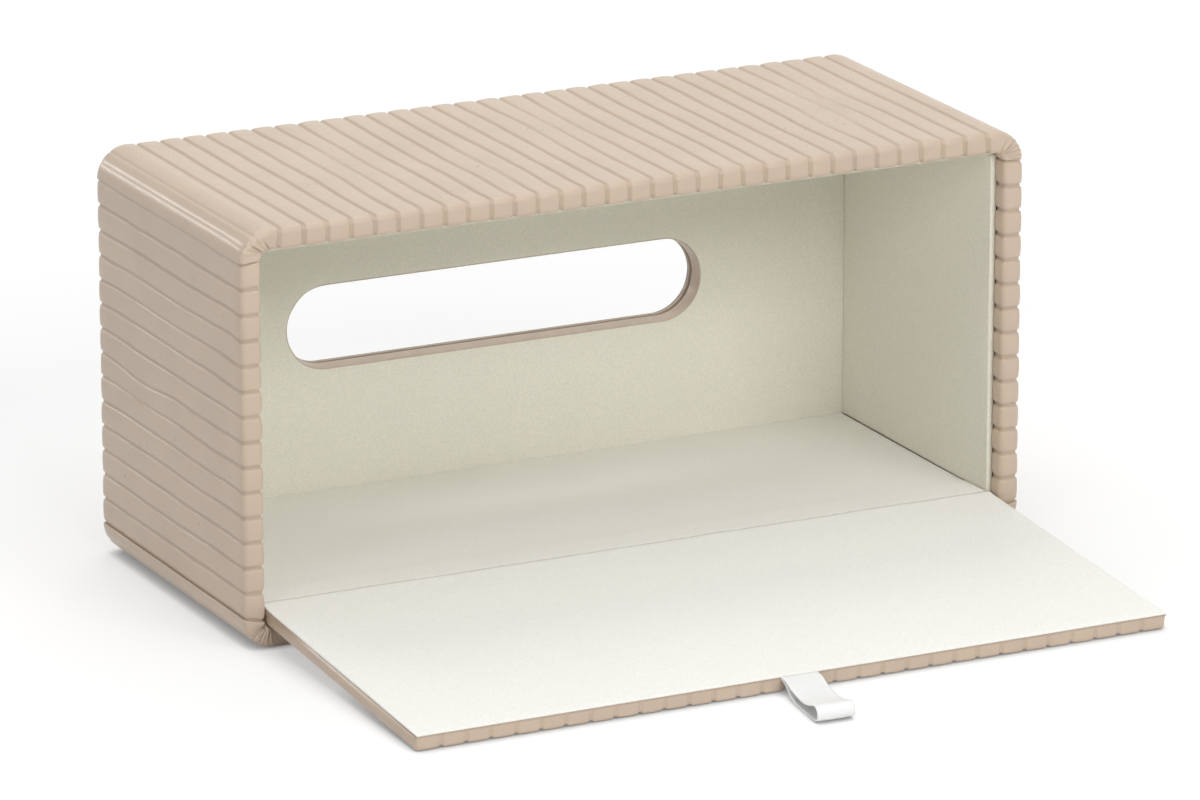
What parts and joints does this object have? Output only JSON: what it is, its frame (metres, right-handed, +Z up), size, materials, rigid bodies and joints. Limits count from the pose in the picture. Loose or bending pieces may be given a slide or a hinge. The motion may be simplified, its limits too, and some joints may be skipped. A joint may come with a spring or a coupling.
{
  "type": "tissue box",
  "caption": "Oblong ribbed tissue box lying on its side, with a slot in the rear wall, a cloth-lined inside and a drop-down front door with a pull ribbon.",
  "frame": {"origin": "centre of the case's underside, as it lies with the door open", "axes": "+X along the box, +Y from the open front towards the slotted wall, +Z up"},
  "size_m": [0.26, 0.2397, 0.128],
  "materials": {
    "leathercloth": "satin",
    "edging": "satin",
    "lining": "matt",
    "board": "matt",
    "card": "matt",
    "tape": "matt",
    "magnet": "plated",
    "ribbon": "satin"
  },
  "bodies": {
    "case": {"outer_cover": "leathercloth", "slot_cover": "leathercloth", "slot_trim": "edging", "bottom_board": "board", "top_board": "board", "left_board": "board", "right_board": "board", "slot_board": "board", "post_bottom_left": "board", "post_bottom_right": "board", "post_top_left": "board", "post_top_right": "board", "floor_riser": "board", "hinge_tape": "tape", "ceiling_card": "card", "left_card": "card", "right_card": "card", "back_card": "card", "floor_lining": "lining", "ceiling_lining": "lining", "left_lining": "lining", "right_lining": "lining", "back_lining": "lining", "case_magnet_left": "magnet", "case_magnet_right": "magnet"},
    "door": {"door_cover": "leathercloth", "door_board": "board", "door_card": "card", "door_lining": "lining", "door_magnet_left": "magnet", "door_magnet_right": "magnet", "pull_ribbon": "ribbon"}
  },
  "joints": [
    {"name": "door_hinge", "type": "hinge", "parent": "case", "child": "door", "pos_m": [0, -0.0485, 0.0126], "axis": [-1, 0, 0], "range_deg": [0, 93.9], "deforming": ["pull_ribbon"]}
  ]
}
